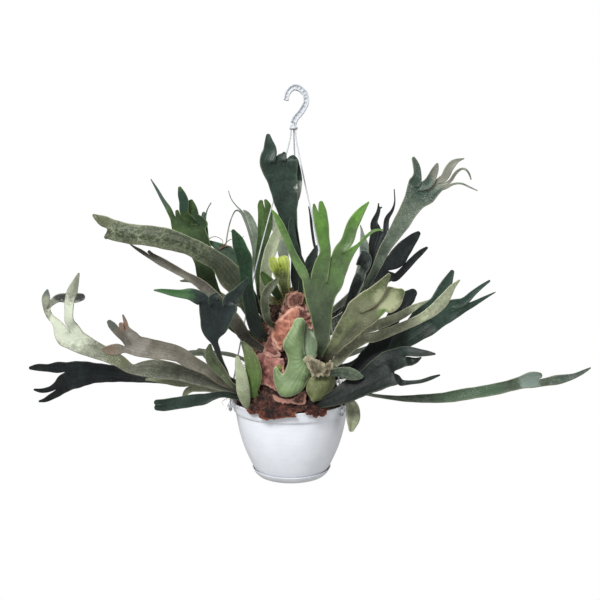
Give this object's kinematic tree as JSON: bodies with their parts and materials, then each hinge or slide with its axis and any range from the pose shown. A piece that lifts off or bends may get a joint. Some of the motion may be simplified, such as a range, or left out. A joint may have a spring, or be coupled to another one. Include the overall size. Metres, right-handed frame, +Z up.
{
  "type": "staghorn fern in hanging pot",
  "caption": "Staghorn fern with long forked antler fronds and rounded shield fronds on a fibrous mound, in a plain hanging pot with a clip-on drip tray, three strands and a hook.",
  "frame": {"origin": "centre of the flat underside of the drip tray", "axes": "+Z up to the hook, +X to the plant's right as seen from the front, -Y is the front"},
  "size_m": [0.9811, 0.4227, 0.6662],
  "materials": {
    "pot_plastic": "satin white",
    "tray_plastic": "satin white, slightly greyer",
    "hanger_plastic": "satin white",
    "bark": "coarse damp potting bark; stands in for organic material",
    "mound": "fibrous root and dead shield fronds; stands in for plant material",
    "shield_dry": "dry papery brown; stands in for plant material",
    "shield_green": "matt green; stands in for plant material",
    "frond_pale": "pale felted; stands in for plant material",
    "frond_sage": "felted grey-green; stands in for plant material",
    "frond_bright": "waxy bright green; stands in for plant material",
    "frond_deep": "waxy deep green; stands in for plant material",
    "frond_slate": "waxy blue-black green; stands in for plant material",
    "frond_young": "young yellow-green; stands in for plant material"
  },
  "bodies": {
    "root": {"pot": "pot_plastic", "drip_tray": "tray_plastic", "potting_bark": "bark", "hook": "hanger_plastic", "strand_back": "hanger_plastic", "strand_left": "hanger_plastic", "strand_right": "hanger_plastic", "shield_kidney": "shield_green", "shield_behind": "shield_green", "shield_right": "shield_green", "old_shield_front": "shield_dry", "old_shield_upper": "shield_dry", "old_shield_left": "shield_dry", "old_rim_left": "shield_dry", "old_rim_right": "shield_dry", "root_mound": "mound", "antler_left": "frond_pale", "forked_left": "frond_pale", "dark_left": "frond_slate", "low_left": "frond_deep", "under_left": "frond_sage", "strap_left": "frond_bright", "kinked_left": "frond_slate", "high_left": "frond_deep", "spear_left": "frond_deep", "strap_long": "frond_sage", "mottled_left": "frond_sage", "blade_left": "frond_deep", "wispy_left": "frond_sage", "twin_left": "frond_deep", "felted_left": "frond_pale", "tall_dark": "frond_deep", "spear_front": "frond_deep", "bright_fork": "frond_bright", "narrow_back": "frond_slate", "antler_right": "frond_sage", "dark_right_high": "frond_slate", "grey_right": "frond_sage", "curled_right": "frond_slate", "dark_fork_right": "frond_slate", "pale_broad": "frond_sage", "pale_long": "frond_pale", "blue_antler_right": "frond_deep", "dark_round_right": "frond_slate", "slate_right": "frond_slate", "long_right": "frond_deep", "scrap_right": "frond_pale", "rim_leaf_right": "shield_green", "shield_felted": "frond_pale", "shield_crescent": "shield_green", "tucked_left": "frond_deep", "young_crown": "frond_young", "young_left": "frond_deep", "young_shield": "frond_sage", "back_high": "frond_deep", "back_left_high": "frond_sage", "back_right_high": "frond_deep", "back_left_low": "frond_slate", "back_right_low": "frond_slate", "back_middle": "frond_sage"}
  },
  "joints": []
}
